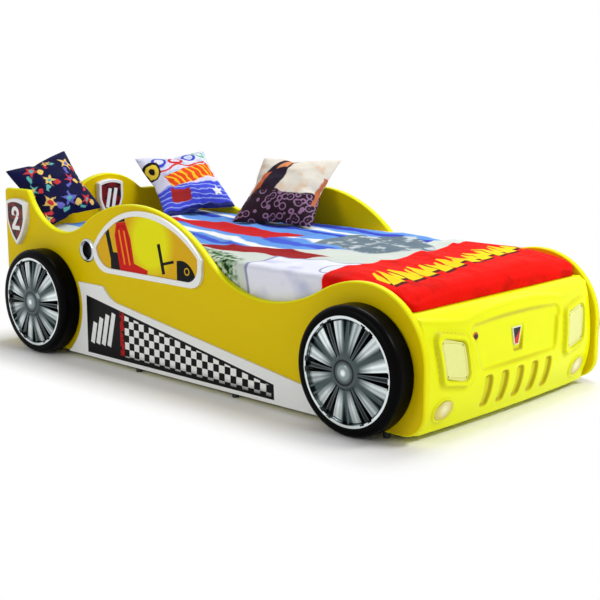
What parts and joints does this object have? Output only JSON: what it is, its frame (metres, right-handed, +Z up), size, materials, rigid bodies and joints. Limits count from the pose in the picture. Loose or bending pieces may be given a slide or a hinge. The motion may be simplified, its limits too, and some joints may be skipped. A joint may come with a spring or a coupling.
{
  "type": "children's car bed",
  "caption": "Car-shaped bed for a child: wavy side panels, dummy wheels, moulded bumper with push-button lamps, slatted base, mattress, quilt and cushions.",
  "frame": {"origin": "on the floor under the middle of the bed frame, at the foot of the middle leg", "axes": "+X from the headboard to the bumper, +Y to the bed's left, +Z up"},
  "size_m": [2.0799, 1.132, 0.7261],
  "materials": {
    "badge": "gloss",
    "bezel_orange": "gloss",
    "board_dark": "bare board",
    "bumper_yellow": "gloss",
    "button_black": "gloss",
    "cap_silver": "silver lacquer",
    "cushion_blue": "printed cotton",
    "cushion_brown": "printed cotton",
    "cushion_navy": "printed cotton",
    "filler_black": "matt",
    "filler_chrome": "polished",
    "frame_white": "gloss",
    "glide_black": "matt",
    "lens_cream": "translucent look",
    "mattress_white": "quilted ticking",
    "module_dark": "matt",
    "panel_yellow": "satin lacquer on board",
    "quilt_print": "printed cotton",
    "rail_wood": "planed",
    "shield_white": "gloss",
    "sill_print": "printed",
    "slat_wood": "planed",
    "steel": "zinc plated",
    "tyre": "matt",
    "webbing": "woven",
    "window_print": "printed"
  },
  "bodies": {
    "bed": {"badge_plate": "badge", "battery_box": "module_dark", "beam_leg_front": "rail_wood", "beam_leg_middle": "rail_wood", "beam_leg_rear": "rail_wood", "beam_shoes": "steel", "bedspread": "quilt_print", "bumper_shell": "bumper_yellow", "centre_beam": "rail_wood", "corner_angles": "steel", "cushion_blue": "cushion_blue", "cushion_brown": "cushion_brown", "cushion_navy": "cushion_navy", "filler_cup_left": "filler_black", "filler_cup_right": "filler_black", "filler_ring_left": "filler_chrome", "filler_ring_right": "filler_chrome", "fog_lens_left": "lens_cream", "fog_lens_right": "lens_cream", "footboard": "board_dark", "headboard": "panel_yellow", "headlight_lens_left": "lens_cream", "headlight_lens_right": "lens_cream", "hub_cap_front_left": "cap_silver", "hub_cap_front_right": "cap_silver", "hub_cap_rear_left": "cap_silver", "hub_cap_rear_right": "cap_silver", "lamp_module_left": "module_dark", "lamp_module_right": "module_dark", "mattress": "mattress_white", "panel_glides": "glide_black", "shield_head": "shield_white", "shield_side": "shield_white", "side_panel_left": "panel_yellow", "side_panel_right": "panel_yellow", "side_rail_left": "rail_wood", "side_rail_right": "rail_wood", "sill_plate_left": "sill_print", "sill_plate_right": "sill_print", "slat_straps": "webbing", "slats": "slat_wood", "switch_bezel": "bezel_orange", "tyre_front_left": "tyre", "tyre_front_right": "tyre", "tyre_rear_left": "tyre", "tyre_rear_right": "tyre", "window_board_left": "window_print", "window_board_right": "window_print", "window_frame_left": "frame_white", "window_frame_right": "frame_white"},
    "button": {"light_button": "button_black"}
  },
  "joints": [
    {"name": "button_press", "type": "slide", "parent": "bed", "child": "button", "axis": [-1, 0, 0], "range_m": [0, 0.0025], "stiffness_N_per_m": 600}
  ]
}
